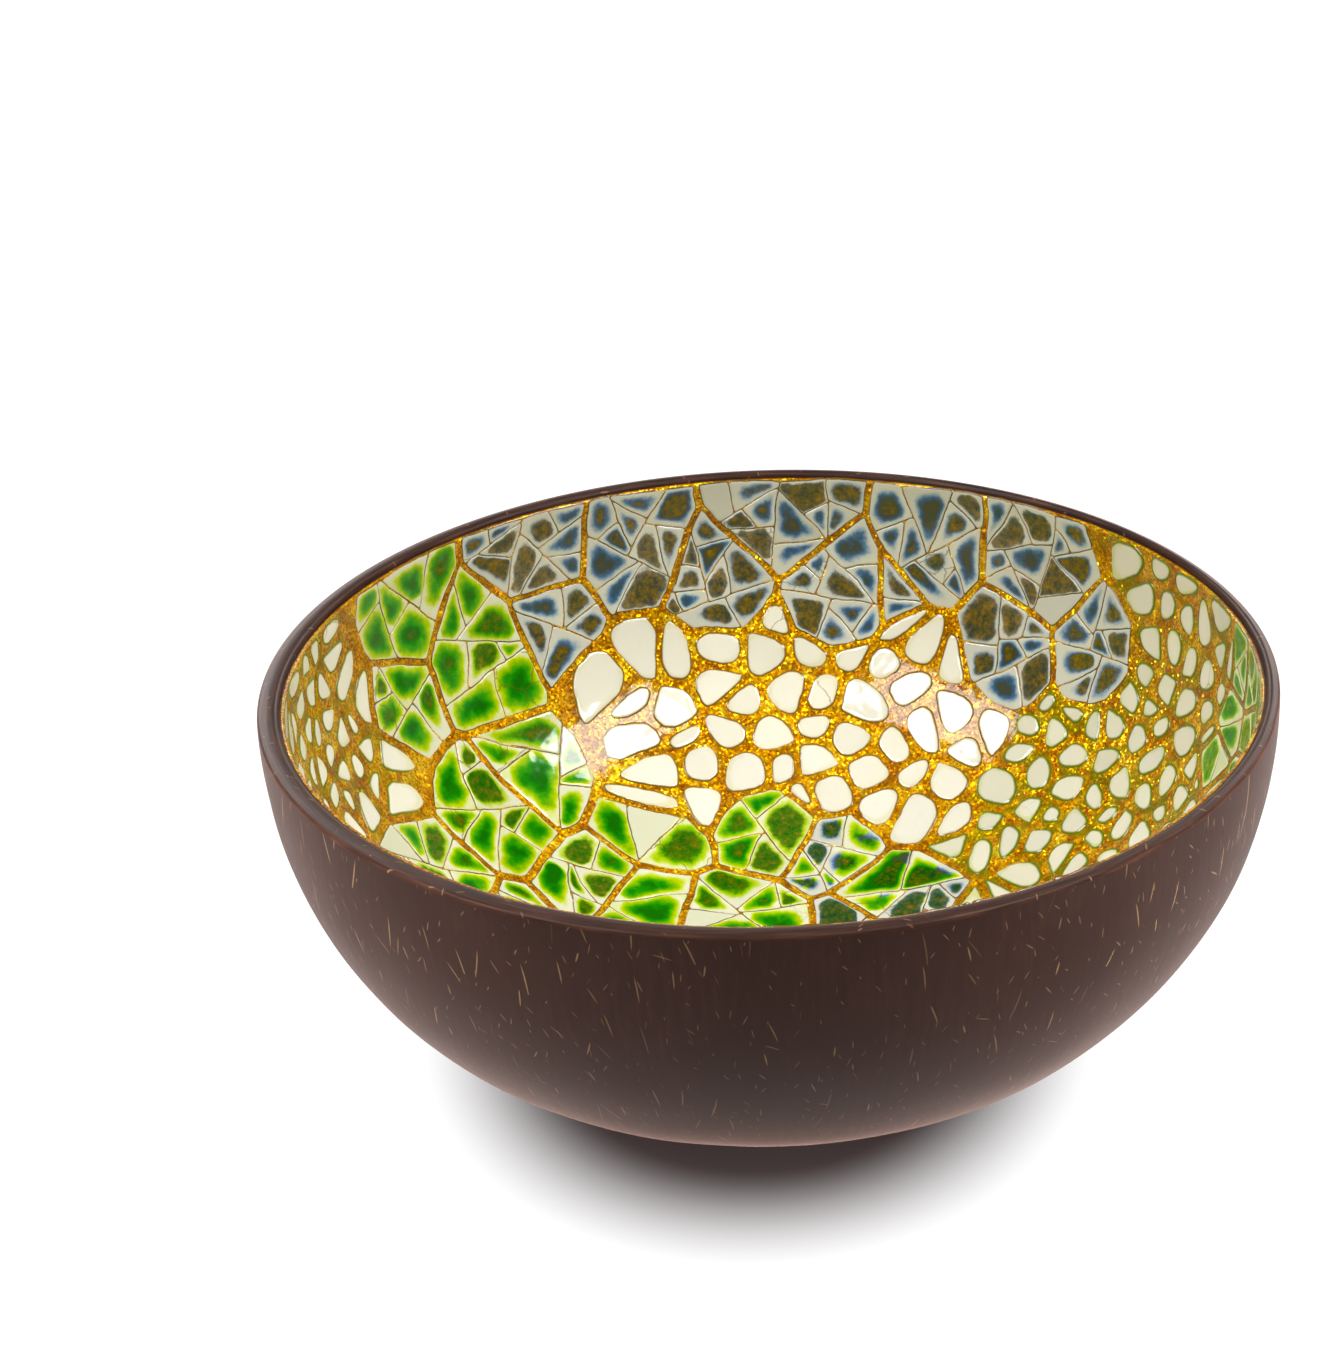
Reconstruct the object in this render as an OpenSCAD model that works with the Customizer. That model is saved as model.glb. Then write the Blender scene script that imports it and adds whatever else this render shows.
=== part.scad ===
// Half coconut shell bowl, lined with a mosaic of crackled eggshell on gold lacquer.
// The foot rests on z = 0, +Z is up, +X is right and +Y is back. Lengths are in mm.

/* [Shell] */
// Diameter of the sawn rim
rim_diameter = 140; // [125:1:155]
// Height of the rim above the foot
bowl_height = 56; // [48:1:66]
// Thickness of the shell at the rim
wall = 2.4; // [1.9:0.1:3]
// How far below the rim the shell is widest
belly_drop = 2.9; // [2:0.1:4]
// Share of the depth below the belly that the radius of the side takes
side_share = 0.955; // [0.85:0.005:0.98]
// How much is rubbed off the bottom to give it a flat foot
foot_rub = 1.4; // [1:0.1:1.8]
// How far the hollow lies to the right, which thins the right wall
hollow_right = 0.6; // [0:0.1:0.8]
// How far the hollow lies to the back, which thins the back wall
hollow_back = 0.4; // [0:0.1:0.6]
// How far the hollow is raised, which thickens the bottom
hollow_lift = 1.2; // [0.8:0.1:2]
// Radius that sanding leaves on the outer edge of the rim
rim_ease = 0.6; // [0.3:0.1:1]
// Width of the bevel on the inner edge of the rim
lip_bevel = 0.4; // [0.2:0.1:0.6]

/* [Lacquer] */
// Thickness of the dark ground lacquer on the shell
ground = 0.3; // [0.2:0.05:0.5]
// Thickness of the gold lacquer that the chips are pressed onto
gold = 0.2; // [0.15:0.05:0.4]
// How far below the rim the lining stops
lining_drop = 0.7; // [0.5:0.1:1.2]

/* [Eggshell] */
// Thickness of the eggshell
eggshell = 0.35; // [0.25:0.05:0.5]
// Spacing of the green pieces as they are laid
green_pitch = 16; // [13:0.5:20]
// Spacing of the blue pieces as they are laid
blue_pitch = 14; // [11:0.5:18]
// Spacing of the small green pieces at the right edge
leaf_pitch = 8; // [6:0.5:10]
// Width of the chips that a green piece breaks into when it is pressed down
green_chip = 7.4; // [6:0.2:10]
// Width of the chips that a blue piece breaks into
blue_chip = 5.8; // [4.6:0.2:8]
// Spacing of the large pebbles
pebble_pitch = 6.2; // [5.4:0.1:8]
// Spacing of the small pebbles
bead_pitch = 5.2; // [4.8:0.1:6.5]
// Spacing of the ivory slivers at the left edge
sliver_pitch = 4.6; // [4:0.1:6]
// Width of a crack
crack = 0.2; // [0.15:0.05:0.4]
// Width of the gold joint between two laid pieces
joint = 0.9; // [0.6:0.1:1.2]
// Width of the gold between two pebbles
pebble_joint = 0.9; // [0.7:0.1:1.5]
// Narrowest chip that stays on
least_chip = 1.4; // [1:0.1:2]

/* [Piece to show] */
// Name of one piece, or all

/* [Hidden] */
$fn = 180;
// One overrun for every cut
over = 1;
// How far beneath the arcs the section is filled across the seam between them
seam = 0.03;
// Share of the spacing by which a piece may wander
wander_share = 0.34;
// Share of its own size by which a piece may outgrow its neighbours
outgrow_share = 0.6;
// Share of an edge that a pebble's worn corner takes
corner_share = 0.24;
// Share of the spacing that the middle of a piece keeps from the rim
rim_share = 0.3;
// Share of its spacing that a piece may spread to each side of its middle
spread_share = 1.4;
// Share of its spacing that a pebble may spread to each side of its middle
pebble_spread_share = 1.2;
// Share of the two spacings within which pieces are neighbours
reach_share = 1.5;
// Share of a chip's size by which a crack may pass its middle
stray_share = 0.16;
// Share by which the size at which a chip holds may vary
hold_share = 0.6;
// Most degrees by which a crack turns from straight across
crack_turn = 11;
// Most cracks that follow one another
crack_rounds = 4;

// Section of the shell: a side arc and a bottom arc that meet without a corner
rim_r = rim_diameter / 2;
side_z = bowl_height - belly_drop;
depth = side_z + foot_rub;
side_r = depth * side_share;
side_x = rim_r - sqrt(side_r * side_r - belly_drop * belly_drop);
slack = depth - side_r;
rise = (side_x * side_x - slack * slack) / (2 * slack);
bottom_z = side_z + rise;
bottom_r = depth + rise;
turn = atan2(side_x, rise);

// Faces of the lining, counted inward from the outside curve
ground_in = wall + ground;
gold_in = ground_in + gold;

// Heights in the hollow, which is raised by hollow_lift
rim_top = bowl_height - hollow_lift;
lining_top = rim_top - lining_drop;

// Run along the gold from the middle of the bottom, and the slope at a run
floor_r = bottom_r - gold_in;
climb_r = side_r - gold_in;
floor_run = floor_r * turn * PI / 180;
top_slope = acos((side_z - lining_top) / climb_r);
top_run = floor_run + climb_r * (top_slope - turn) * PI / 180;
function slope_at(run) = run < floor_run ? run / floor_r * 180 / PI
    : turn + (run - floor_run) / climb_r * 180 / PI;

// Radius and height of the gold where its slope is a
function gold_at(a) = a < turn
    ? [floor_r * sin(a), bottom_z - floor_r * cos(a)]
    : [side_x + climb_r * sin(a), side_z - climb_r * cos(a)];

// Slope of the gold at a point of the hollow, and how far beneath it the point is
function slope_of(p) = let (r = norm([p[0], p[1]]), a = atan2(r, bottom_z - p[2]))
    a < turn ? a : atan2(r - side_x, side_z - p[2]);
function beneath(p) = let (r = norm([p[0], p[1]]))
    atan2(r, bottom_z - p[2]) < turn ? norm([r, p[2] - bottom_z]) - floor_r
    : norm([r - side_x, p[2] - side_z]) - climb_r;

// A seat on the gold: its point, the way up the wall, the way round, the way in,
// its slope and its compass (0 right, 90 back)
function seat(p, a, c) = [
    p,
    [cos(a) * cos(c), cos(a) * sin(c), sin(a)],
    [-sin(c), cos(c), 0],
    [-sin(a) * cos(c), -sin(a) * sin(c), cos(a)],
    a, c
];
function seat_at(run, c) = let (a = slope_at(run), p = gold_at(a))
    seat([p[0] * cos(c), p[0] * sin(c), p[1]], a, c);
function flat_on(s, p) = [(p - s[0]) * s[1], (p - s[0]) * s[2]];

// Where a point of a seat's flat lands on the gold
function landed(p, way, rounds = 4) = rounds == 0 ? p
    : landed(p + beneath(p) * way, way, rounds - 1);
function land(s, q) = landed(s[0] + q[0] * s[1] + q[1] * s[2], s[3]);

// Kinds of pieces, their spacing, and the chips that they break into
kinds = ["green", "blue", "mixed", "leaf", "pebble", "bead", "sliver"];
function kind_of(name) = search([name], kinds)[0];
GREEN = kind_of("green");
BLUE = kind_of("blue");
MIXED = kind_of("mixed");
LEAF = kind_of("leaf");
PEBBLE = kind_of("pebble");
BEAD = kind_of("bead");
SLIVER = kind_of("sliver");
pitches = [
    green_pitch, blue_pitch, blue_pitch, leaf_pitch, pebble_pitch, bead_pitch, sliver_pitch
];
chip_sizes = [green_chip, blue_chip, green_chip, blue_chip];
function rounded(kind) = kind >= PEBBLE;

// Fields of the mosaic: kind, compass from and to, and the share of the run from
// and to. The first that fits holds.
field_shares = [
    [SLIVER, 156, 196, 0.70, 1],
    [LEAF, -24, 12, 0.78, 1],
    [BLUE, 37, 127, 0.78, 1],
    [BLUE, 36, 60, 0.72, 0.80],
    [MIXED, 36, 86, 0.22, 0.44],
    [PEBBLE, 52, 116, 0.44, 0.78],
    [BEAD, -30, 52, 0.30, 1],
    [BLUE, 262, 330, 0.76, 1],
    [PEBBLE, 262, 330, 0.30, 0.76],
    [GREEN, 86, 262, 0, 1],
    [MIXED, -98, 86, 0, 0.30]
];
function turned(c, from) = let (t = (c - from) % 360) t < 0 ? t + 360 : t;
function fits(row, c, share) = turned(c, row[1]) < row[2] - row[1]
    && share >= row[3] && share <= row[4];
function kind_at(c, share, k = 0) = k == len(field_shares) ? GREEN
    : fits(field_shares[k], c, share) ? field_shares[k][0]
    : kind_at(c, share, k + 1);

// Draws of chance, each from its own seed: a piece's place along its ring and up the
// wall, and a chip's size, turn and stray
function draws_from(seed) = rands(-1, 1, 4001, seed);
around_draws = draws_from(11);
up_draws = draws_from(23);
size_draws = draws_from(37);
turn_draws = draws_from(41);
stray_draws = draws_from(59);
function draw(draws, n) = draws[n % len(draws)];

// Steps by which the number of a piece grows with its kind and its ring
number_steps = [613, 97];

// Rings of pieces climb from the middle of the bottom to the rim. A piece holds
// its seat, its kind, its draw of chance and the square of its reach.
function ring(pitch, kind, row, rows) = let (
    step = top_run / rows,
    run = (row + 0.5) * step,
    count = max(3, round(gold_at(slope_at(run))[0] * 2 * PI / pitch))
) [for (i = [0 : count - 1]) let (
    n = [kind + 1, row] * number_steps + i,
    c = (i + row % 2 / 2 + wander_share * draw(around_draws, n)) * 360 / count,
    at = run + wander_share * draw(up_draws, n) * step,
    half = pitch / 2
) if (kind_at(c, at / top_run) == kind && at < top_run - pitch * rim_share)
    [seat_at(at, c), kind, n, half * half * (1 + outgrow_share * draw(size_draws, n))]];
pieces = [for (kind = [0 : len(kinds) - 1]) let (
    pitch = pitches[kind],
    rows = round(top_run / pitch)
) for (row = [0 : rows - 1]) each ring(pitch, kind, row, rows)];

// Outline of a piece on its seat: a square cut back towards each neighbour and
// at the rim
function cut(points, way, limit) = [for (i = [0 : 1 : len(points) - 1]) let (
    p = points[i],
    q = points[(i + 1) % len(points)],
    e = p * way - limit,
    g = q * way - limit
) each concat(e <= 0 ? [p] : [], e * g < 0 ? [p + (q - p) * e / (e - g)] : [])];
function cut_all(points, cuts, k = 0) = k == len(cuts) ? points
    : cut_all(cut(points, cuts[k][0], cuts[k][1]), cuts, k + 1);
function gap(a, b) = rounded(a[1]) || rounded(b[1]) ? pebble_joint : joint;
function cut_between(a, b) = let (q = flat_on(a[0], b[0][0]), apart = norm(q))
    [q / apart, apart / 2 + (a[3] - b[3]) / (2 * apart) - gap(a, b) / 2];
function outline_of(piece) = let (
    here = piece[0],
    pitch = pitches[piece[1]],
    h = (rounded(piece[1]) ? pebble_spread_share : spread_share) * pitch,
    near = [for (o = pieces) let (
        d = o[0][0] - here[0],
        reach = reach_share * (pitch + pitches[o[1]])
    ) if (d * d > 0 && d * d < reach * reach) o],
    cuts = concat(
        [for (o = near) cut_between(piece, o)],
        [[[1, 0], flat_on(here, seat_at(top_run, here[5])[0])[0] - crack]]
    )
) cut_all([[-h, -h], [h, -h], [h, h], [-h, h]], cuts);

// A pebble's corners are worn round
function worn(points) = [for (i = [0 : 1 : len(points) - 1]) let (
    p = points[i],
    q = points[(i + 1) % len(points)]
) each [p + (q - p) * corner_share, q + (p - q) * corner_share]];

// A laid piece breaks across its long way, again and again, until its chips hold
function middle_of(points) = [for (p = points) 1] * points / len(points);
function cross_of(p, q) = p[0] * q[1] - p[1] * q[0];
function area_of(points) = [for (i = [0 : 1 : len(points) - 1]) 1]
    * [for (i = [0 : 1 : len(points) - 1])
        cross_of(points[i], points[(i + 1) % len(points)]) / 2];
function width_of(points, a) = let (across = [for (p = points) p * [cos(a), sin(a)]])
    max(across) - min(across);
ways = [0 : 15 : 165];
function widths_of(points) = [for (a = ways) width_of(points, a)];
function long_way(points) = let (w = widths_of(points), best = max(w))
    [for (a = ways) if (width_of(points, a) == best) a][0];
function broken(points, size, n, rounds) = len(points) < 3 ? []
    : rounds == 0 || area_of(points) < size * size * (1 + hold_share * draw(size_draws, n))
    ? [points]
    : let (
        a = long_way(points) + crack_turn * draw(turn_draws, n),
        way = [cos(a), sin(a)],
        at = middle_of(points) * way + stray_share * size * draw(stray_draws, n)
    ) concat(
        broken(cut(points, way, at - crack / 2), size, 2 * n + 1, rounds - 1),
        broken(cut(points, -way, -at - crack / 2), size, 2 * n + 2, rounds - 1)
    );
function chips_of(piece) = let (outline = outline_of(piece))
    rounded(piece[1]) ? [worn(outline)]
    : broken(outline, chip_sizes[piece[1]], piece[2], crack_rounds);

// Half section of the space inside the outside curve, moved in by an inset
module inside(inset, top) {
    arm = 2 * bottom_r;
    knee = [0, bottom_z] + arm * [sin(turn), -cos(turn)];
    intersection() {
        square([rim_r + over, top]);
        union() {
            intersection() {
                translate([0, bottom_z]) circle(bottom_r - inset);
                polygon([[0, bottom_z], [0, bottom_z - arm], knee]);
            }
            intersection() {
                translate([side_x, side_z]) circle(side_r - inset);
                polygon([
                    [0, bottom_z], knee, [arm, bottom_z - arm],
                    [arm, bottom_z + arm], [0, bottom_z + arm]
                ]);
            }
            translate([side_x, side_z]) circle(side_r - inset - seam);
        }
    }
}

// What sanding takes off the outer edge of the rim
module rim_corner() {
    arm = side_r - rim_ease;
    up = belly_drop - rim_ease;
    out = [sqrt(arm * arm - up * up), up];
    middle = [side_x, side_z] + out;
    far = rim_ease + over;
    difference() {
        polygon([
            middle, middle + out / arm * far,
            middle + [far, far], middle + [0, far]
        ]);
        translate(middle) circle(rim_ease);
    }
}

// Half section of the hollow, with the bevel at the lip
module hollow() {
    r = side_r - wall;
    lip = side_x + sqrt(r * r - (rim_top - side_z) * (rim_top - side_z));
    inside(wall, rim_top + over);
    polygon([
        [lip - over, rim_top - lip_bevel - over],
        [lip + lip_bevel + over, rim_top + over], [lip - over, rim_top + over]
    ]);
}

module in_hollow() {
    translate([hollow_right, hollow_back, hollow_lift]) children();
}

module skin(from, to) {
    in_hollow() rotate_extrude() difference() {
        inside(from, lining_top);
        inside(to, lining_top + over);
    }
}

// A chip is flat, so it is raised until its corners clear the hollow gold
module chip(corners) {
    middle = middle_of(corners);
    here = seat(middle, slope_of(middle), atan2(middle[1], middle[0]));
    outline = [for (p = corners) flat_on(here, p)];
    lift = max([for (q = outline) beneath(middle + q[0] * here[1] + q[1] * here[2])]);
    in_hollow() translate(middle) rotate([0, 0, here[5]]) rotate([0, -here[4], 0])
        translate([0, 0, lift]) linear_extrude(eggshell) polygon(outline);
}

// The chips of one kind of piece between two compass readings
module laid(kind, from, to) {
    for (piece = pieces) {
        if (piece[1] == kind && turned(piece[0][5], from) < to - from) {
            for (points = chips_of(piece)) {
                if (len(points) > 2 && min(widths_of(points)) > least_chip) {
                    chip([for (q = points) land(piece[0], q)]);
                }
            }
        }
    }
}

module coconut_shell() {
    color("#4a302b") difference() {
        rotate_extrude() difference() {
            inside(0, bowl_height);
            rim_corner();
        }
        in_hollow() rotate_extrude() hollow();
    }
}

module ground_lacquer() {
    color("#3a1f12") skin(wall, ground_in);
}

module gold_lacquer() {
    color("#c08a1e") skin(ground_in, gold_in);
}

module green_chips_left() {
    color("#58a53a") laid(GREEN, 86, 176);
}

module green_chips_front_left() {
    color("#4c9a34") laid(GREEN, 176, 220);
}

module green_chips_front() {
    color("#53a038") laid(GREEN, 220, 446);
}

module blue_chips_back() {
    color("#4a678f") laid(BLUE, 0, 200);
}

module blue_chips_front() {
    color("#42608a") laid(BLUE, 200, 360);
}

module ivory_pebbles_back() {
    color("#ece8d6") laid(PEBBLE, 0, 200);
}

module ivory_pebbles_front() {
    color("#e6e1cc") laid(PEBBLE, 200, 360);
}

module ivory_beads_back_right() {
    color("#e9e6cf") laid(BEAD, 12, 180);
}

module ivory_beads_front_right() {
    color("#e4e0c8") laid(BEAD, -180, 12);
}

module ivory_slivers_left() {
    color("#eae6c8") laid(SLIVER, 0, 360);
}

module green_leaf_chips_right() {
    color("#7fb04a") laid(LEAF, -180, 180);
}

module mixed_chips_floor() {
    color("#5c8a6a") laid(MIXED, 0, 360);
}

coconut_shell();
ground_lacquer();
gold_lacquer();
green_chips_left();
green_chips_front_left();
green_chips_front();
green_leaf_chips_right();
blue_chips_back();
blue_chips_front();
mixed_chips_floor();
ivory_pebbles_back();
ivory_pebbles_front();
ivory_beads_back_right();
ivory_beads_front_right();
ivory_slivers_left();
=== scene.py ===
import math

import bmesh
import bpy
import numpy as np
from mathutils import Euler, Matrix, Vector, kdtree, noise


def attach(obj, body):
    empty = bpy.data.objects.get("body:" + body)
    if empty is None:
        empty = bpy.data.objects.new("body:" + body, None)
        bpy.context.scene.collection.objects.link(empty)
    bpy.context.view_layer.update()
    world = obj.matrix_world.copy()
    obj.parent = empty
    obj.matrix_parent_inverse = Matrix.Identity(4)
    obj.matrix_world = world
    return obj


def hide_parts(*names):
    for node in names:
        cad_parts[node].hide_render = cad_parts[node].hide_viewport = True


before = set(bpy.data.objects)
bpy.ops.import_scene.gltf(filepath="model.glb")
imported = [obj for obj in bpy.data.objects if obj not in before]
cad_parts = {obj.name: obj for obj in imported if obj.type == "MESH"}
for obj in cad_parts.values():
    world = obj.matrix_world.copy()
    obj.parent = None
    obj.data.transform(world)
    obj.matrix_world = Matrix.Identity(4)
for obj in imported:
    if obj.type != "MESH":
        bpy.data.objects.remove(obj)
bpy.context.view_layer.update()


# Camera: it stands 0.6 m from the middle of the rim, to the front and 27 degrees up,
# and leans slightly. The 119 mm lens is for a sensor 36 mm wide.
camera = bpy.data.objects.new("camera", bpy.data.cameras.new("camera"))
camera.data.sensor_fit = "HORIZONTAL"
camera.data.sensor_width = 36.0
camera.data.lens = 119.009
camera.location = (0.0, -0.53446, 0.32867)
camera.rotation_euler = Euler([math.radians(a) for a in (62.9714, 2.2524, 0.4161)])
bpy.context.scene.collection.objects.link(camera)
bpy.context.scene.camera = camera
bpy.context.scene.view_settings.view_transform = "Standard"


# The shell: the lower half of a ripe coconut's shell, sawn level, scraped, sanded and
# oiled. Its section is a wide bottom arc and a side arc, and the bottom is rubbed flat
# into a foot. The hollow lies a little to the right and back, so the wall is uneven.
MM = 0.001
RIM_R = 70 * MM
HEIGHT = 56 * MM
BELLY_DROP = 2.9 * MM
FOOT_RUB = 1.4 * MM
SIDE_SHARE = 0.955
WALL = 2.4 * MM
RIM_EASE = 0.6 * MM
LIP_BEVEL = 0.4 * MM
CROWN = 0.12 * MM
CROWN_FADE = 4 * MM
HOLLOW = Vector((0.6, 0.4, 1.2)) * MM

SIDE_Z = HEIGHT - BELLY_DROP
DEPTH = SIDE_Z + FOOT_RUB
SIDE_R = DEPTH * SIDE_SHARE
SIDE_X = RIM_R - math.sqrt(SIDE_R**2 - BELLY_DROP**2)
SLACK = DEPTH - SIDE_R
RISE = (SIDE_X**2 - SLACK**2) / (2 * SLACK)
BOTTOM_Z = SIDE_Z + RISE
BOTTOM_R = DEPTH + RISE
TURN = math.atan2(SIDE_X, RISE)
SIDE_C = Vector((SIDE_X, 0, SIDE_Z))
BOTTOM_C = Vector((0, 0, BOTTOM_Z))


def sweep(bm, vert, centre, angle, steps):
    """Carry a profile's last point round a centre in the XZ plane, and give the new one."""
    made = bmesh.ops.spin(bm, geom=[vert], cent=centre, axis=(0, -1, 0), angle=angle,
                          steps=steps)
    return [g for g in made["geom_last"] if isinstance(g, bmesh.types.BMVert)][0]


def step_to(bm, vert, place):
    """Carry a profile's last point straight to a place, and give the new one."""
    made = bmesh.ops.extrude_vert_indiv(bm, verts=[vert])["verts"][0]
    made.co = place
    return made


def turned(bm, steps):
    """Turn a profile round the bowl's axis."""
    bmesh.ops.spin(bm, geom=bm.verts[:] + bm.edges[:], cent=(0, 0, 0), axis=(0, 0, 1),
                   angle=2 * math.pi, steps=steps, use_merge=True)
    bmesh.ops.remove_doubles(bm, verts=bm.verts, dist=0.002 * MM)


def rim_edges(bm, z):
    """The open edges at a height."""
    return [e for e in bm.edges if e.is_boundary
            and all(abs(v.co.z - z) < 0.01 * MM for v in e.verts)]


AROUND = 360
bm = bmesh.new()
arm = SIDE_R - RIM_EASE
up = BELLY_DROP - RIM_EASE
corner = SIDE_C + Vector((math.sqrt(arm**2 - up**2), 0, up))
corner_slope = math.pi / 2 + math.asin(up / arm)
foot_slope = math.acos(BOTTOM_Z / BOTTOM_R)
FOOT_R = BOTTOM_R * math.sin(foot_slope)
last = bmesh.ops.create_vert(bm, co=(0, 0, 0))["vert"][0]
last = step_to(bm, last, (FOOT_R, 0, 0))
last = sweep(bm, last, BOTTOM_C, TURN - foot_slope, steps=14)
last = sweep(bm, last, SIDE_C, corner_slope - TURN, steps=76)
last = sweep(bm, last, corner, math.pi - corner_slope, steps=6)
turned(bm, AROUND)

hollow = bmesh.new()
reach = SIDE_R - WALL
rim_up = HEIGHT - HOLLOW.z - SIDE_Z
lip = SIDE_X + math.sqrt(reach**2 - rim_up**2)
lip_slope = math.pi / 2 + math.asin((rim_up - LIP_BEVEL) / reach)
last = bmesh.ops.create_vert(hollow, co=(lip + LIP_BEVEL, 0, SIDE_Z + rim_up))["vert"][0]
last = step_to(hollow, last, SIDE_C + reach * Vector((math.sin(lip_slope), 0,
                                                      -math.cos(lip_slope))))
last = sweep(hollow, last, SIDE_C, TURN - lip_slope, steps=16)
last = sweep(hollow, last, BOTTOM_C, -TURN, steps=6)
turned(hollow, AROUND)
bmesh.ops.translate(hollow, verts=hollow.verts, vec=HOLLOW)
inner = bpy.data.meshes.new("hollow")
hollow.to_mesh(inner)
hollow.free()
bm.from_mesh(inner)
bpy.data.meshes.remove(inner)
bridge = bmesh.ops.bridge_loops(bm, edges=rim_edges(bm, HEIGHT))
bmesh.ops.subdivide_edges(bm, edges=bridge["edges"], cuts=5)
bmesh.ops.recalc_face_normals(bm, faces=bm.faces)
# Sanding leaves the sawn rim a little crowned
for v in bm.verts:
    out = corner.x - math.hypot(v.co.x, v.co.y)
    within = math.hypot(v.co.x - HOLLOW.x, v.co.y - HOLLOW.y) - lip - LIP_BEVEL
    fade = 1 - (HEIGHT - v.co.z) / CROWN_FADE
    if fade > 0:
        across = min(1, max(0, out / (out + within)))
        v.co.z -= CROWN * (2 * across - 1) ** 2 * fade
# Scraping by hand leaves the outside slightly wavy: a third of a millimetre over some
# 35 mm, and a tenth over 11 mm
bm.normal_update()
for v in bm.verts:
    far = math.hypot(v.co.x, v.co.y)
    deep = math.hypot(far - SIDE_X, v.co.z - SIDE_Z) if far > SIDE_X else 1
    if deep > SIDE_R - 0.05 * MM and v.co.z > 0.05 * MM:
        ease = min(1, (HEIGHT - v.co.z) / (9 * MM), v.co.z / (2 * MM))
        wave = 0.35 * noise.noise(v.co * 28) + 0.10 * noise.noise(v.co * 90) - 0.12
        v.co += v.normal * (wave * ease * MM)


def linear(hex_colour):
    """An sRGB hex value as linear red, green, blue and alpha."""
    parts = [int(hex_colour[i : i + 2], 16) / 255 for i in (1, 3, 5)]
    return [c / 12.92 if c <= 0.04045 else ((c + 0.055) / 1.055) ** 2.4
            for c in parts] + [1]


def fill(node, values):
    """Set or link a node's inputs, given by name or number, or in their order."""
    for key, value in values.items() if isinstance(values, dict) else enumerate(values):
        if isinstance(value, bpy.types.NodeSocket):
            node.id_data.links.new(value, node.inputs[key])
        else:
            node.inputs[key].default_value = value


def add(tree, kind, values=(), out=0, stops=(), **settings):
    """Add a shader node with its settings, colour stops, values and links, and give one
    of its outputs."""
    made = tree.nodes.new("ShaderNode" + kind)
    for key, value in settings.items():
        setattr(made, key, value)
    if stops:
        points = made.color_ramp.elements
        while len(points) < len(stops):
            points.new(1.0)
        for point, (place, colour) in zip(points, stops):
            point.position = place
            point.color = linear(colour)
    fill(made, values)
    return made.outputs[out]


def finish_of(name):
    """A new material, its node tree and its Principled shader."""
    made = bpy.data.materials.new(name)
    made.use_nodes = True
    return made, made.node_tree, made.node_tree.nodes["Principled BSDF"]


# The shell's patterns follow the wall as if it were a ball of about the bowl's size
BALL_Z = 58 * MM
ROUND_MM = 70.0
DOWN_MM = 62.0


def surface_mm(tree):
    """Millimetres round the bowl from the front, and down the wall from the rim, then
    the height, the distance from the axis and the place, in metres."""
    place = add(tree, "TexCoord", out="Object")
    split = add(tree, "SeparateXYZ", [place]).node.outputs
    flat = add(tree, "CombineXYZ", [split[0], split[1]])
    far = add(tree, "VectorMath", [flat], out="Value", operation="LENGTH")
    back = add(tree, "Math", [split[1], -1.0], operation="MULTIPLY")
    front = add(tree, "Math", [split[0], back], operation="ARCTAN2")
    drop = add(tree, "Math", [BALL_Z, split[2]], operation="SUBTRACT")
    slope = add(tree, "Math", [drop, far], operation="ARCTAN2")
    u = add(tree, "Math", [front, ROUND_MM], operation="MULTIPLY")
    v = add(tree, "Math", [slope, DOWN_MM], operation="MULTIPLY")
    return u, v, split[2], far, place


def mapped(tree, u, v, wide, high):
    """The two running lengths in cells of a pattern, each so many millimetres."""
    a = add(tree, "Math", [u, wide], operation="DIVIDE")
    b = add(tree, "Math", [v, high], operation="DIVIDE")
    return add(tree, "CombineXYZ", [a, b])


def fibres(tree, u, v, wide, high, length, width, share, turn, sway):
    """Short fibres of the husk left in the shell: one stroke, in millimetres, in a share
    of the cells. It leans by up to `turn` radians either way from `sway`."""
    cell = mapped(tree, u, v, wide, high)
    cells = add(tree, "TexVoronoi", {"Vector": cell, "Scale": 1.0},
                voronoi_dimensions="2D").node.outputs
    away = add(tree, "VectorMath", [cell, cells["Position"]], operation="SUBTRACT")
    away = add(tree, "VectorMath", [away, (wide, high, 1.0)], operation="MULTIPLY")
    chance = add(tree, "SeparateColor", [cells["Color"]]).node.outputs
    lean = add(tree, "Math", [chance[0], 2 * turn, sway - turn], operation="MULTIPLY_ADD")
    away = add(tree, "VectorRotate", {"Vector": away, "Angle": lean},
               rotation_type="Z_AXIS")
    parts = add(tree, "SeparateXYZ", [away]).node.outputs
    bend = add(tree, "Math", [parts[1], parts[1]], operation="MULTIPLY")
    side = add(tree, "Math", [bend, 0.02, parts[0]], operation="MULTIPLY_ADD")
    across = add(tree, "Math", [side, width / 2], operation="DIVIDE")
    # Half of a stroke is from a fifth to four fifths of the length given
    half = add(tree, "Math", [chance[1], length * 0.6, length * 0.2],
               operation="MULTIPLY_ADD")
    along = add(tree, "Math", [parts[1], half], operation="DIVIDE")
    across = add(tree, "Math", [across, across], operation="MULTIPLY")
    along = add(tree, "Math", [along, along], operation="MULTIPLY")
    far = add(tree, "Math", [across, along], operation="ADD")
    stroke = add(tree, "MapRange", [far, 1.0, 0.3], interpolation_type="SMOOTHSTEP")
    chosen = add(tree, "MapRange", [chance[2], share, share * 0.3],
                 interpolation_type="SMOOTHSTEP")
    return add(tree, "Math", [stroke, chosen], operation="MULTIPLY")


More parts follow.
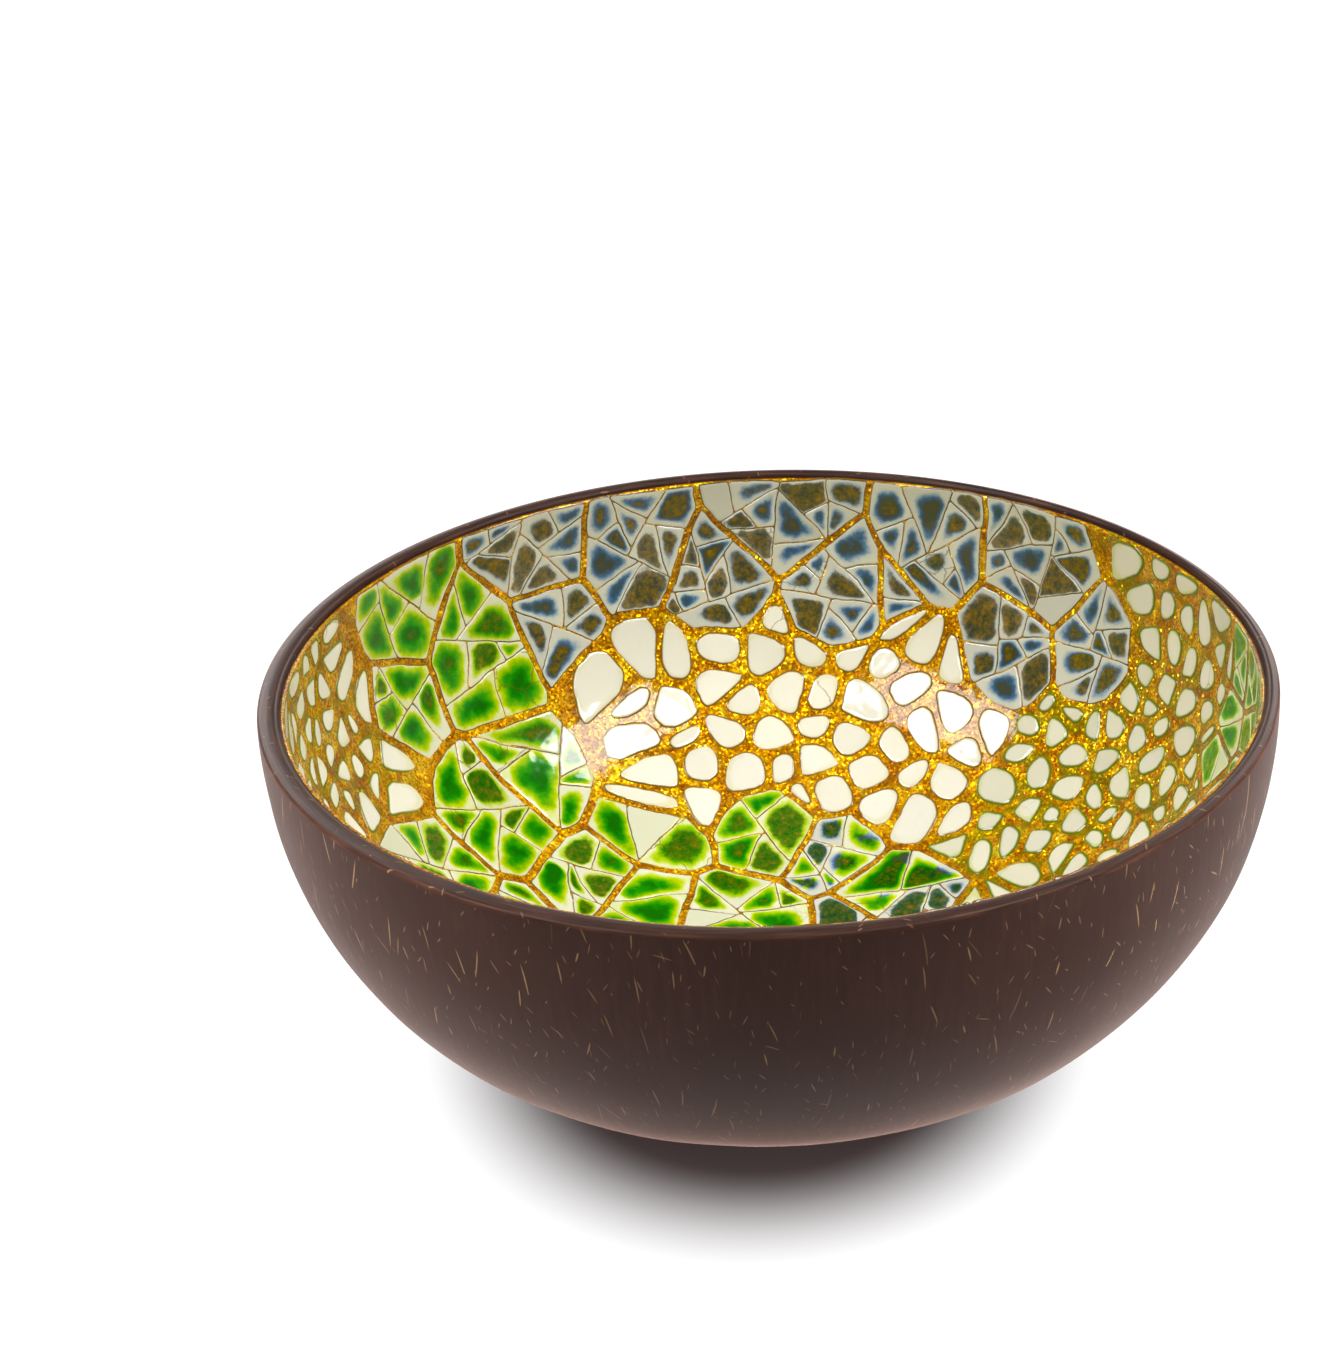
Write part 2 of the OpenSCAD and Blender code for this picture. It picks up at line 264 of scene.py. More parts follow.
# Coconut shell, sanded and oiled: dark chocolate brown with a dull gloss, fine upright
# strands, and scattered tan husk fibres that end at the surface.
shell_wood, tree, face = finish_of("sanded_coconut_shell")
u, v, z, far, place = surface_mm(tree)
strands = mapped(tree, u, v, wide=1.1, high=7.0)
strands = add(tree, "TexNoise", {"Vector": strands, "Scale": 1.0, "Detail": 4.0,
                                 "Roughness": 0.6})
clouds = add(tree, "TexNoise", {"Vector": place, "Scale": 1 / (18.18 * MM),
                                "Detail": 3.0})
brown = add(tree, "ValToRGB", [strands],
            stops=[(0.25, "#2c1a15"), (0.5, "#321e18"), (0.75, "#3a241d")])
darker = add(tree, "MapRange", [clouds, 0.35, 0.7], interpolation_type="SMOOTHSTEP")
brown = add(tree, "Mix", {0: darker, 6: brown, 7: linear("#2d1a14")}, out=2,
            data_type="RGBA")
tan = add(tree, "ValToRGB", [clouds], stops=[(0.3, "#7d5f42"), (0.7, "#a08059")])
tiny = fibres(tree, u, v, wide=2.2, high=2.6, length=1.2, width=0.21, share=0.60,
              turn=0.9, sway=0.1)
slant = fibres(tree, u, v, wide=7.0, high=7.0, length=2.6, width=0.25, share=0.60,
               turn=1.1, sway=0.3)
long = fibres(tree, u, v, wide=17.0, high=34.0, length=22.0, width=0.36, share=0.30,
              turn=0.25, sway=-0.2)
short = fibres(tree, u, v, wide=5.2, high=6.0, length=3.8, width=0.28, share=0.62,
               turn=0.45, sway=0.0)
for strokes, strength in ((tiny, 0.36), (slant, 0.45), (long, 0.5), (short, 0.62)):
    shown = add(tree, "Math", [strokes, strength], operation="MULTIPLY")
    brown = add(tree, "Mix", {0: shown, 6: brown, 7: tan}, out=2, data_type="RGBA")
# The sawn rim shows the shell's layers end on, a little redder than the outside
across = add(tree, "Math", [far, 1 / MM], operation="MULTIPLY")
layers = mapped(tree, u, across, wide=9.0, high=0.35)
layers = add(tree, "TexNoise", {"Vector": layers, "Scale": 1.0, "Detail": 3.0})
sawn = add(tree, "ValToRGB", [layers],
           stops=[(0.3, "#2a150c"), (0.5, "#3a2014"), (0.72, "#543222")])
flecks = fibres(tree, u, across, wide=3.8, high=1.1, length=1.2, width=0.24, share=0.30,
                turn=1.4, sway=1.2)
flecks = add(tree, "Math", [flecks, 0.7], operation="MULTIPLY")
sawn = add(tree, "Mix", {0: flecks, 6: sawn, 7: linear("#9a7452")}, out=2,
           data_type="RGBA")
on_rim = add(tree, "MapRange", [z, HEIGHT - 0.9 * MM, HEIGHT - 0.5 * MM],
             interpolation_type="SMOOTHSTEP")
colour = add(tree, "Mix", {0: on_rim, 6: brown, 7: sawn}, out=2, data_type="RGBA")
grain = add(tree, "Bump", {"Strength": 0.12, "Distance": 0.2 * MM, "Height": strands})
dull = add(tree, "MapRange", {0: strands, 3: 0.40, 4: 0.52})
# Only the rim is polished: hands and lips rub it
polish = add(tree, "MapRange", [z, HEIGHT - 0.3 * MM, HEIGHT - 0.15 * MM],
             interpolation_type="SMOOTHSTEP")
polish = add(tree, "Math", [polish, 0.5], operation="MULTIPLY")
fill(face, {"Base Color": colour, "Normal": grain, "Roughness": dull, "IOR": 1.45,
            "Specular IOR Level": 0.14, "Sheen Weight": 0.45, "Sheen Roughness": 0.28,
            "Sheen Tint": linear("#c8a294"), "Coat Weight": polish,
            "Coat Roughness": 0.4, "Coat IOR": 1.45})


def piece(name, bm, material, slot, *nodes):
    """Make the finished mesh a piece that rides on the bowl and stands for CAD nodes."""
    mesh = bpy.data.meshes.new(name)
    bm.to_mesh(mesh)
    bm.free()
    mesh.materials.append(material)
    mesh.shade_smooth()
    made = bpy.data.objects.new(name, mesh)
    bpy.context.scene.collection.objects.link(made)
    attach(made, "root")
    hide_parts(*nodes)
    return made


piece("sawn_shell", bm, shell_wood, "coconut_shell", "coconut_shell")


# The ground: one coat of dark brown lacquer, brushed over the inside of the shell. The
# gold lies on it, so it shows only as a thin line at the top edge of the lining.

# Brushed lacquer: near-black red brown, streaked by the brush, with a low gloss.
ground, tree, face = finish_of("brushed_dark_lacquer")
place = add(tree, "TexCoord", out="Object")
streaks = add(tree, "TexNoise", {"Vector": place, "Scale": 1 / (2.5 * MM),
                                 "Detail": 3.0})
colour = add(tree, "ValToRGB", [streaks], stops=[(0.35, "#2c150c"), (0.65, "#4a2615")])
fill(face, {"Base Color": colour, "Roughness": 0.4, "Specular IOR Level": 0.2})
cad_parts["ground_lacquer"].data.materials.clear()
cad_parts["ground_lacquer"].data.materials.append(ground)


# The gold: lacquer dusted with bronze powder, which stays in sight in the joints. It
# wells up between the chips, and is rubbed back to just below their tops.
GROUND = 0.3 * MM
GOLD = 0.2 * MM
WELL = 0.25 * MM
LINING_DROP = 0.7 * MM
GOLD_IN = WALL + GROUND + GOLD
CHIP_NODES = [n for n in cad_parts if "chips" in n or "ivory" in n]


def spot(places):
    """Slope, compass and depth beneath the outside curve of places in the hollow."""
    at = np.asarray(places, float) - np.array(HOLLOW)
    far = np.hypot(at[:, 0], at[:, 1])
    low = np.arctan2(far, BOTTOM_Z - at[:, 2])
    side = np.arctan2(far - SIDE_X, SIDE_Z - at[:, 2])
    slope = np.where(low < TURN, low, side)
    deep = np.where(low < TURN, BOTTOM_R - np.hypot(far, at[:, 2] - BOTTOM_Z),
                    SIDE_R - np.hypot(far - SIDE_X, at[:, 2] - SIDE_Z))
    return slope, np.arctan2(at[:, 1], at[:, 0]), deep


def inward(slope, compass):
    """The way into the hollow."""
    return np.stack([-np.sin(slope) * np.cos(compass), -np.sin(slope) * np.sin(compass),
                     np.cos(slope)], 1)


def seated(slope, compass, deep):
    """Places in the hollow at a depth beneath the outside curve."""
    far = np.where(slope < TURN, (BOTTOM_R - deep) * np.sin(slope),
                   SIDE_X + (SIDE_R - deep) * np.sin(slope))
    high = np.where(slope < TURN, BOTTOM_Z - (BOTTOM_R - deep) * np.cos(slope),
                    SIDE_Z - (SIDE_R - deep) * np.cos(slope))
    return np.stack([far * np.cos(compass), far * np.sin(compass), high], 1) \
        + np.array(HOLLOW)


def chip_tops(node):
    """The upper side of each of a node's flat chips, as one face."""
    bm = bmesh.new()
    bm.from_mesh(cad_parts[node].data)
    bmesh.ops.remove_doubles(bm, verts=bm.verts, dist=0.001 * MM)
    bm.normal_update()
    bm.faces.index_update()
    slope, compass, deep = spot([f.calc_center_median() for f in bm.faces])
    ways = [Vector(way) for way in inward(slope, compass)]
    tops = set()
    waiting = set(bm.faces)
    while waiting:
        solid = [waiting.pop()]
        for f in solid:
            for e in f.edges:
                for beside in e.link_faces:
                    if beside in waiting:
                        waiting.remove(beside)
                        solid.append(beside)
        top = max(solid, key=lambda f: f.calc_area() * f.normal.dot(ways[f.index]))
        level = top.verts[0].co.dot(top.normal)
        tops.update(f for f in solid
                    if all(abs(v.co.dot(top.normal) - level) < 0.1 * MM for v in f.verts))
    bmesh.ops.delete(bm, geom=[f for f in bm.faces if f not in tops], context="FACES")
    bmesh.ops.dissolve_faces(bm, faces=bm.faces[:])
    bmesh.ops.dissolve_limit(bm, angle_limit=math.radians(0.5), verts=bm.verts,
                             edges=bm.edges)
    return bm


def attribute(mesh, name, values):
    """Store a number at each point of a mesh."""
    mesh.attributes.new(name, "FLOAT", "POINT").data.foreach_set(
        "value", np.ascontiguousarray(values, np.float32))


bm = bmesh.new()
top_in = GOLD_IN + WELL
top_slope = math.acos((SIDE_Z - (HEIGHT - HOLLOW.z - LINING_DROP)) / (SIDE_R - top_in))
last = bmesh.ops.create_vert(bm, co=(0, 0, BOTTOM_Z - BOTTOM_R + top_in))["vert"][0]
last = sweep(bm, last, BOTTOM_C, TURN, steps=54)
last = sweep(bm, last, SIDE_C, top_slope - TURN, steps=112)
back_slope = math.acos((SIDE_Z - (HEIGHT - HOLLOW.z - LINING_DROP))
                       / (SIDE_R - WALL - GROUND))
last = step_to(bm, last, SIDE_C + (SIDE_R - WALL - GROUND)
               * Vector((math.sin(back_slope), 0, -math.cos(back_slope))))
last = sweep(bm, last, SIDE_C, TURN - back_slope, steps=16)
last = sweep(bm, last, BOTTOM_C, -TURN, steps=5)
turned(bm, 380)
bmesh.ops.recalc_face_normals(bm, faces=bm.faces)
bmesh.ops.translate(bm, verts=bm.verts, vec=HOLLOW)

# Bronze powder in clear lacquer: bright flakes turned every way, from deep orange to
# lemon, in pools of uneven depth, with brown veins, under a wet-looking gloss.
gold_powder, tree, face = finish_of("bronze_powder_lacquer")
place = add(tree, "TexCoord", out="Object")
# Flakes are really about 0.05 mm; they are drawn 0.3 mm wide so that they show
flakes = add(tree, "TexVoronoi", {"Vector": place, "Scale": 1 / (0.303 * MM)},
             out="Color")
bright = add(tree, "SeparateColor", [flakes])
pools = add(tree, "TexNoise", {"Vector": place, "Scale": 1 / (3.846 * MM),
                               "Detail": 4.0, "Roughness": 0.65})
pools = add(tree, "Math", [pools, 0.20], operation="SUBTRACT")
thick = add(tree, "Math", [bright, 0.40, pools], operation="MULTIPLY_ADD")
colour = add(tree, "ValToRGB", [thick],
             stops=[(0.20, "#8f5002"), (0.37, "#b87202"), (0.52, "#d69404"),
                    (0.66, "#f0b808"), (0.78, "#ffe038")])
stray = add(tree, "TexNoise", {"Vector": place, "Scale": 1 / (8.333 * MM)}, out="Color")
stray = add(tree, "Mix", {0: 0.004, 4: place, 5: stray}, out=1, data_type="VECTOR")
veins = add(tree, "TexVoronoi", {"Vector": stray, "Scale": 1 / (13.333 * MM)},
            out="Distance", feature="DISTANCE_TO_EDGE")
veins = add(tree, "MapRange", [veins, 0.06, 0.02], interpolation_type="SMOOTHSTEP")
veins = add(tree, "Math", [veins, 0.5], operation="MULTIPLY")
colour = add(tree, "Mix", {0: veins, 6: colour, 7: linear("#8a4a10")}, out=2,
             data_type="RGBA")
crept = add(tree, "TexNoise", {"Vector": place, "Scale": 1 / (3.03 * MM),
                               "Detail": 3.0})
crept = add(tree, "MapRange", [crept, 0.46, 0.62], interpolation_type="SMOOTHSTEP")
green = add(tree, "Attribute", out="Fac", attribute_name="green")
crept = add(tree, "Math", [crept, green], operation="MULTIPLY")
crept = add(tree, "Math", [crept, 0.8], operation="MULTIPLY")
colour = add(tree, "Mix", {0: crept, 6: colour, 7: linear("#6f8606")}, out=2,
             data_type="RGBA")
tilt = add(tree, "VectorMath", [flakes, (0.5, 0.5, 0.5)], operation="SUBTRACT")
tilt = add(tree, "VectorMath", {0: tilt, "Scale": 0.9}, operation="SCALE")
level = add(tree, "NewGeometry", out="Normal")
way = add(tree, "VectorMath", [level, tilt], operation="ADD")
way = add(tree, "VectorMath", [way], operation="NORMALIZE")
swell = add(tree, "TexNoise", {"Vector": place, "Scale": 1 / (3.333 * MM),
                               "Detail": 2.0})
skin = add(tree, "Bump", {"Strength": 0.3, "Distance": 0.3 * MM, "Height": swell})
fill(face, {"Base Color": colour, "Normal": way, "Coat Normal": skin, "Metallic": 0.35,
            "Roughness": 0.3, "Specular IOR Level": 0.0, "Coat Weight": 0.6,
            "Coat Roughness": 0.08, "Coat IOR": 1.45})
gold = piece("gold_joints", bm, gold_powder, "gold_lacquer", "gold_lacquer")

# How much green stain has crept over each point of the gold from the chip beside it
edges = []
stain = []
for node in CHIP_NODES:
    tops = chip_tops(node)
    share = {"ivory_beads_back_right": 0.65, "ivory_beads_front_right": 0.6,
             "ivory_pebbles_back": 0.15, "ivory_pebbles_front": 0.3,
             "green_leaf_chips_right": 1.0, "ivory_slivers_left": 0.45}.get(node, 0.1)
    for e in tops.edges:
        a, b = (v.co for v in e.verts)
        count = max(1, round((b - a).length / (0.8 * MM)))
        edges += [a.lerp(b, k / count) for k in range(count)]
        stain += [share] * count
    tops.free()
tree_of_edges = kdtree.KDTree(len(edges))
for k, point in enumerate(edges):
    tree_of_edges.insert(point, k)
tree_of_edges.balance()
co = np.array([v.co for v in gold.data.vertices])
seen = spot(co)[2] > top_in - 0.02 * MM
attribute(gold.data, "green", [stain[tree_of_edges.find(at)[1]] if up else 0
                               for at, up in zip(co, seen)])


# The mosaic: duck eggshell, stained, charred or left plain, is laid on the wet gold in
# pieces and pressed until it cracks. The cracks stay as dark hairlines, the gold wells
# up round each piece, and all of it lies under clear lacquer.
EGGSHELL = 0.35 * MM
STEP = 0.38 * MM
HAIR = 0.12 * MM
CRACK_REACH = 0.5 * MM
# A chip is meshed in rings: 1 is the edge of its top, smaller numbers lie within it, and
# two rings below it carry its worn side down into the gold
SLOPE_RING = 1.5
FOOT_RING = 2.0
# The breaks' unevenness is drawn from this seed, the same in each run
noise.seed_set(7)


def strayed(place):
    """Where a point lies once the straight breaks are made slightly uneven."""
    return (place + noise.noise_vector(place * 210) * (0.40 * MM)
            + noise.noise_vector(place * 850) * (0.10 * MM))


def outlines(node, rounds, grow):
    """A node's chips as loops of short edges: corners worn in so many rounds, breaks
    made uneven, and shut to hairlines where they face a chip of their own plate."""
    bm = chip_tops(node)
    owner = bm.verts.layers.float.new("owner")
    middle = bm.verts.layers.float_vector.new("middle")
    start = bm.verts.layers.float_vector.new("start")
    side = bm.verts.layers.float_vector.new("side")
    inset = bm.verts.layers.float.new("inset")
    crack = bm.verts.layers.float.new("crack")
    for k, f in enumerate(bm.faces):
        centre = f.calc_center_median_weighted()
        for v in f.verts:
            v[owner] = k
            v[middle] = centre
    bmesh.ops.delete(bm, geom=bm.faces[:], context="FACES_ONLY")
    by_cuts = {}
    for e in bm.edges:
        by_cuts.setdefault(int(e.calc_length() / STEP), []).append(e)
    for cuts, group in by_cuts.items():
        if cuts:
            bmesh.ops.subdivide_edges(bm, edges=group, cuts=cuts)
    for k in range(rounds):
        bmesh.ops.smooth_vert(bm, verts=bm.verts, factor=0.5, use_axis_x=True,
                              use_axis_y=True, use_axis_z=True)
    for v in bm.verts:
        v.co = v[middle].lerp(v.co, grow)

    # A side that faces another chip of its own piece is a crack; the rest face gold
    bm.verts.index_update()
    owners = [round(v[owner]) for v in bm.verts]
    beside = kdtree.KDTree(len(owners))
    for v in bm.verts:
        beside.insert(v.co, v.index)
    beside.balance()
    slope, compass, deep = spot([v[middle] for v in bm.verts])
    ways = [Vector(way) for way in inward(slope, compass)]
    moved = []
    for v in bm.verts:
        a, b = (e.other_vert(v).co for e in v.link_edges)
        out = (a - b).cross(ways[v.index]).normalized()
        if out.dot(v.co - v[middle]) < 0:
            out.negate()
        own = owners[v.index]
        point = beside.find(v.co, filter=lambda k: owners[k] != own)[0]
        gap = (point - v.co).dot(out)
        v[crack] = float((point - v.co).length < CRACK_REACH and gap > 0)
        v[side] = out
        moved.append(strayed(v.co + out * (v[crack] * (gap - HAIR) / 2)))
    for v, at in zip(bm.verts, moved):
        v.co = at
        v[start] = at
        v[inset] = 1.0
    return bm


def stains(flat, share, centre, chip, broken, rim, border, halo, plain):
    """What the wear and the stain follow at each point: millimetres from the edge, depth
    in the stain, a slight tilt, and each chip's own luck. `border` is the millimetres of
    plain shell left at the gold, `halo` those over which the stain comes in, and `plain`
    the share of chips that took none. `broken` is spread inward from the cracks."""
    draws = np.random.default_rng(chip.max() + 7).random((chip.max() + 1, 8))
    edge = np.zeros(len(flat))
    depth = np.zeros(len(flat))
    tilt = np.zeros(len(flat))
    by_chip = np.argsort(chip, kind="stable")
    starts = np.searchsorted(chip[by_chip], np.arange(chip.max() + 2))
    by_side = np.argsort(chip[rim[:, 0]], kind="stable")
    side_starts = np.searchsorted(chip[rim[by_side, 0]], np.arange(chip.max() + 2))
    for k in range(chip.max() + 1):
        own = by_chip[starts[k]:starts[k + 1]]
        sides = rim[by_side[side_starts[k]:side_starts[k + 1]]]
        a, b = flat[sides[:, 0]], flat[sides[:, 1]]
        long = np.linalg.norm(b - a, axis=1)
        along = (b - a) / long[:, None]
        arm = flat[own][:, None] - a
        run = np.einsum("nmk,mk->nm", arm, along)
        off = np.linalg.norm(arm - run[..., None] * along, axis=2)
        near = np.hypot(off, run - np.clip(run, 0, long)) / MM
        which = near.argmin(1)
        broken[own] = broken[sides[which, 0]]
        edge[own] = near.min(1)
        # An even mean of the ways out: its levels are round, as a stain's are
        off = np.maximum(off, 0.05 * MM)
        pull = (long - run) / np.hypot(off, long - run) + run / np.hypot(off, run)
        pull /= off**2
        weight = 1 - (0.1 + 0.75 * draws[k, 4]**4) * broken[sides].mean(1)
        reach = (0.5 * (pull * weight).sum(1)) ** -0.5 / MM
        # Most stains draw in to an oval, and some run over a crack
        if draws[k, 4] < 0.86:
            spread, axes = np.linalg.eigh(np.cov(a.T))
            local = (flat[own] - a.mean(0)) @ axes[:, 1:]
            oval = 1 - (local**2 / (2 * spread[1:])).sum(1)
            oval *= 0.8 * (spread[1] * spread[2]) ** 0.25 / MM
            reach = (np.maximum(reach, 0.02) ** -4 + np.maximum(oval, 0.02) ** -4) ** -0.25
        reach[share[own] >= 1] = 0
        most = reach.max()
        lean = draws[k, :3] - 0.5
        lean = (flat[own] - centre[own]) @ (lean / np.linalg.norm(lean)) / MM
        tilt[own] = lean
        edge[own] = np.where(share[own] >= 1, 0, edge[own])
        white = 9.0 if draws[k, 3] < plain else 0.0
        pale = min(border * (0.75 + 0.5 * draws[k, 6]), 0.55 * most) + white
        fade = min(halo * (0.8 + 0.5 * draws[k, 5]), 0.3 * most)
        shift = 0.28 * draws[k, 6] * lean * np.minimum(1, reach / pale)
        depth[own] = (reach + shift - pale) / fade
    edge = np.where(share == SLOPE_RING, -0.3, edge)
    edge = np.where(share == FOOT_RING, -0.6, edge)
    return edge, depth, tilt, draws


def lay(name, node, material, slot, rings, rounds, grow, flare, border, halo, plain):
    """Lay a node's chips with their tops curved to the wall and their worn sides flared
    into the gold. They carry what the stain follows."""
    bm = outlines(node, rounds, grow)
    owner, inset, crack = (bm.verts.layers.float[key]
                           for key in ("owner", "inset", "crack"))
    middle, start, side = (bm.verts.layers.float_vector[key]
                           for key in ("middle", "start", "side"))
    ring = bm.edges[:]
    first = bm.edges[:]
    for share in rings:
        made = bmesh.ops.extrude_edge_only(bm, edges=ring)["geom"]
        fresh = {g for g in made if isinstance(g, bmesh.types.BMVert)}
        ring = [g for g in made if isinstance(g, bmesh.types.BMEdge)
                and all(v in fresh for v in g.verts)]
        for v in fresh:
            v.co = v[middle].lerp(v[start], share)
            v[inset] = share
    bmesh.ops.poke(bm, faces=bmesh.ops.holes_fill(bm, edges=ring)["faces"])
    for level in (SLOPE_RING, FOOT_RING):
        made = bmesh.ops.extrude_edge_only(bm, edges=first)["geom"]
        fresh = {g for g in made if isinstance(g, bmesh.types.BMVert)}
        first = [g for g in made if isinstance(g, bmesh.types.BMEdge)
                 and all(v in fresh for v in g.verts)]
        for v in fresh:
            v.co = v[start] + v[side] * (flare + (HAIR * 0.55 - flare) * v[crack])
            v[inset] = level
    bmesh.ops.holes_fill(bm, edges=first)
    bmesh.ops.recalc_face_normals(bm, faces=bm.faces)

    bm.verts.index_update()
    flat = np.array([v.co for v in bm.verts])
    share = np.array([v[inset] for v in bm.verts])
    centre = np.array([v[middle] for v in bm.verts])
    chip = np.array([round(v[owner]) for v in bm.verts])
    broken = np.array([v[crack] for v in bm.verts])
    rim = np.array([(e.verts[0].index, e.verts[1].index) for e in bm.edges
                    if e.verts[0][inset] == 1.0 and e.verts[1][inset] == 1.0])
    edge, depth, tilt, draws = stains(flat, share, centre, chip, broken, rim, border,
                                      halo, plain)
    slope, compass, deep = spot(flat)
    # The top rises from just above the gold to the shell's thickness over its worn edge
    low = WELL + 0.03 * MM - 0.02 * MM * broken
    scale = 0.16 - 0.09 * broken
    rise = low + (EGGSHELL + 0.02 * MM - low) * (1 - np.exp(-np.maximum(edge, 0) / scale))
    rise += tilt * 0.016 * MM
    rise = np.where(share == SLOPE_RING, WELL - 0.015 * MM + 0.02 * MM * broken, rise)
    rise = np.where(share == FOOT_RING, -0.05 * MM, rise)
    for v, at in zip(bm.verts, seated(slope, compass, GOLD_IN + rise)):
        v.co = at
    for layer in (middle, start, side):
        bm.verts.layers.float_vector.remove(layer)
    made = piece(name, bm, material, slot, node)
    attribute(made.data, "edge", edge)
    attribute(made.data, "depth", np.clip(depth, -4, 8))
    attribute(made.data, "broken", broken)
    attribute(made.data, "chance", draws[chip, 3])
    attribute(made.data, "second", draws[chip, 7])


def eggshell(name, stops, cores, core_from, outline, hem, foot, others=None):
    """Eggshell under clear lacquer: a pale border, a stain that darkens inward from a
    bright halo, a mottled core, and dark breaks. The other stops stain it in patches."""
    made, tree, face = finish_of(name)
    place = add(tree, "TexCoord", out="Object")
    edge, depth, broken, chance, second = (
        add(tree, "Attribute", out="Fac", attribute_name=key)
        for key in ("edge", "depth", "broken", "chance", "second"))
    broad = add(tree, "TexNoise", {"Vector": place, "Scale": 1 / (1.786 * MM),
                                   "Detail": 3.0})
    fine = add(tree, "TexNoise", {"Vector": place, "Scale": 1 / (0.4545 * MM),
                                  "Detail": 3.0, "Roughness": 0.65})
    warp = add(tree, "Math", [broad, 2.4, -1.2], operation="MULTIPLY_ADD")
    fray = add(tree, "Math", [fine, 0.7, -0.35], operation="MULTIPLY_ADD")
    warp = add(tree, "Math", [warp, fray], operation="ADD")
    stain = add(tree, "Math", [depth, warp], operation="ADD")
    level = add(tree, "Math", [stain, 0.25, 0.25], operation="MULTIPLY_ADD")
    colour = add(tree, "ValToRGB", [level], stops=stops)
    if others:
        patch = add(tree, "TexNoise", {"Vector": place, "Scale": 1 / (4.762 * MM),
                                       "Detail": 2.0})
        lot = add(tree, "Math", [second, 0.36, -0.18], operation="MULTIPLY_ADD")
        patch = add(tree, "Math", [patch, lot], operation="ADD")
        patch = add(tree, "MapRange", [patch, 0.47, 0.53],
                    interpolation_type="SMOOTHSTEP")
        other = add(tree, "ValToRGB", [level], stops=others)
        colour = add(tree, "Mix", {0: patch, 6: colour, 7: other}, out=2,
                     data_type="RGBA")
    # The stain scorches dark and gold-specked where it lay thickest
    speck = add(tree, "TexNoise", {"Vector": place, "Scale": 1 / (1.0526 * MM),
                                   "Detail": 5.0, "Roughness": 0.75})
    core = add(tree, "ValToRGB", [speck], stops=cores)
    inside = add(tree, "Math", [second, -4.4, 2.2 - core_from], operation="MULTIPLY_ADD")
    inside = add(tree, "Math", [stain, inside], operation="ADD")
    inside = add(tree, "MapRange", [inside, -0.3, 0.7], interpolation_type="SMOOTHSTEP")
    inside = add(tree, "Math", [inside, 0.9], operation="MULTIPLY")
    colour = add(tree, "Mix", {0: inside, 6: colour, 7: core}, out=2, data_type="RGBA")
    # No two chips take the stain alike
    tone = add(tree, "Math", [chance, 0.12, 0.94], operation="MULTIPLY_ADD")
    strong = add(tree, "Math", [second, 0.22, 0.98], operation="MULTIPLY_ADD")
    colour = add(tree, "HueSaturation", {"Saturation": strong, "Value": tone,
                                         "Color": colour})
    # A few chips are crazed inside, and every break is dark
    stray = add(tree, "TexNoise", {"Vector": place, "Scale": 1 / (1.4286 * MM)},
                out="Color")
    stray = add(tree, "Mix", {0: 0.0012, 4: place, 5: stray}, out=1,
                data_type="VECTOR")
    craze = add(tree, "TexVoronoi", {"Vector": stray, "Scale": 1 / (5.882 * MM)},
                out="Distance", feature="DISTANCE_TO_EDGE")
    craze = add(tree, "MapRange", [craze, 0.022, 0.008],
                interpolation_type="SMOOTHSTEP")
    few = add(tree, "MapRange", [chance, 0.93, 0.94], interpolation_type="SMOOTHSTEP")
    craze = add(tree, "Math", [craze, few], operation="MULTIPLY")
    craze = add(tree, "Math", [craze, 0.5], operation="MULTIPLY")
    colour = add(tree, "Mix", {0: craze, 6: colour, 7: linear(outline)}, out=2,
                 data_type="RGBA")
    close = add(tree, "Math", [fine, 0.12, -0.06], operation="MULTIPLY_ADD")
    close = add(tree, "Math", [edge, close], operation="ADD")
    wide = add(tree, "Math", [broken, 0.08 - hem, hem], operation="MULTIPLY_ADD")
    line = add(tree, "MapRange", [close, wide, -0.03], interpolation_type="SMOOTHSTEP")
    colour = add(tree, "Mix", {0: line, 6: colour, 7: linear(outline)}, out=2,
                 data_type="RGBA")
    gilt = add(tree, "MapRange", [close, -0.04, -0.3], interpolation_type="SMOOTHSTEP")
    whole = add(tree, "Math", [1.0, broken], operation="SUBTRACT")
    gilt = add(tree, "Math", [gilt, whole], operation="MULTIPLY")
    colour = add(tree, "Mix", {0: gilt, 6: colour, 7: linear(foot)}, out=2,
                 data_type="RGBA")
    swell = add(tree, "TexNoise", {"Vector": place, "Scale": 1 / (4.545 * MM),
                                   "Detail": 2.0})
    skin = add(tree, "Bump", {"Strength": 0.4, "Distance": 0.3 * MM, "Height": swell})
    fill(face, {"Base Color": colour, "Normal": skin, "Coat Normal": skin,
                "Roughness": 0.35, "Specular IOR Level": 0.0, "Coat Weight": 1.0,
                "Coat Roughness": 0.08, "Coat IOR": 1.45})
    return made


# Green chips: flat pieces of duck eggshell, stained yellow-green to deep green, pressed
# into the gold over the left side, the floor and the front, and cracked where they lie.
GREENS = [(0.0, "#e4e5ca"), (0.14, "#dce1a2"), (0.25, "#c8d650"), (0.37, "#abc810"),
          (0.49, "#7cb602"), (0.62, "#42a202"), (0.75, "#158a02"), (0.88, "#146a02")]
RINGS = (0.985, 0.96, 0.925, 0.88, 0.83, 0.775, 0.715, 0.65, 0.58, 0.50, 0.41, 0.31, 0.16)
